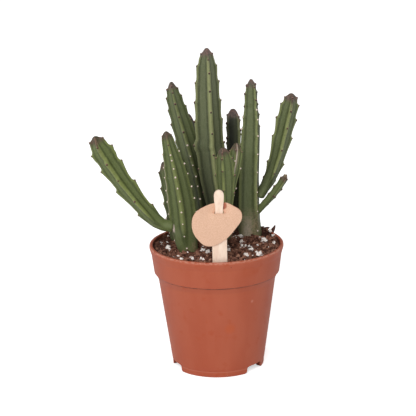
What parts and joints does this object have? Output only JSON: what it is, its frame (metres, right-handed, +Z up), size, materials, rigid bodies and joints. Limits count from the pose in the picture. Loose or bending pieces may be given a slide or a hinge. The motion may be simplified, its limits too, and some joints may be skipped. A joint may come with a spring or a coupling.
{
  "type": "potted stapelia",
  "caption": "Young succulent with upright four-angled stems in a round plastic nursery pot of peaty soil, with a wooden label stick and a bare card tag.",
  "frame": {"origin": "centre of the pot's foot, on the surface it stands on", "axes": "+Z up along the pot's axis, -Y towards the front, where the label stick stands"},
  "size_m": [0.1377, 0.0936, 0.216],
  "materials": {
    "terracotta_plastic": "satin, terracotta-coloured polypropylene",
    "peat": "loose dark brown peat and coir with white perlite grains",
    "birch_wood": "bare, sanded",
    "kraft_card": "bare, matt",
    "stem_green": "matt, waxy green skin with lighter ribs and brownish tips"
  },
  "bodies": {
    "root": {"pot": "terracotta_plastic", "potting_soil": "peat", "label_stick": "birch_wood", "label_card": "kraft_card", "stem_tallest": "stem_green", "stem_left_tall": "stem_green", "stem_front_left": "stem_green", "stem_right_tall": "stem_green", "stem_back_left_short": "stem_green", "stem_front_short": "stem_green", "stem_front_short_twin": "stem_green", "stem_back_right": "stem_green", "stem_back_middle": "stem_green", "stem_left_branch": "stem_green", "stem_right_outer": "stem_green", "stem_right_small": "stem_green"}
  },
  "joints": []
}
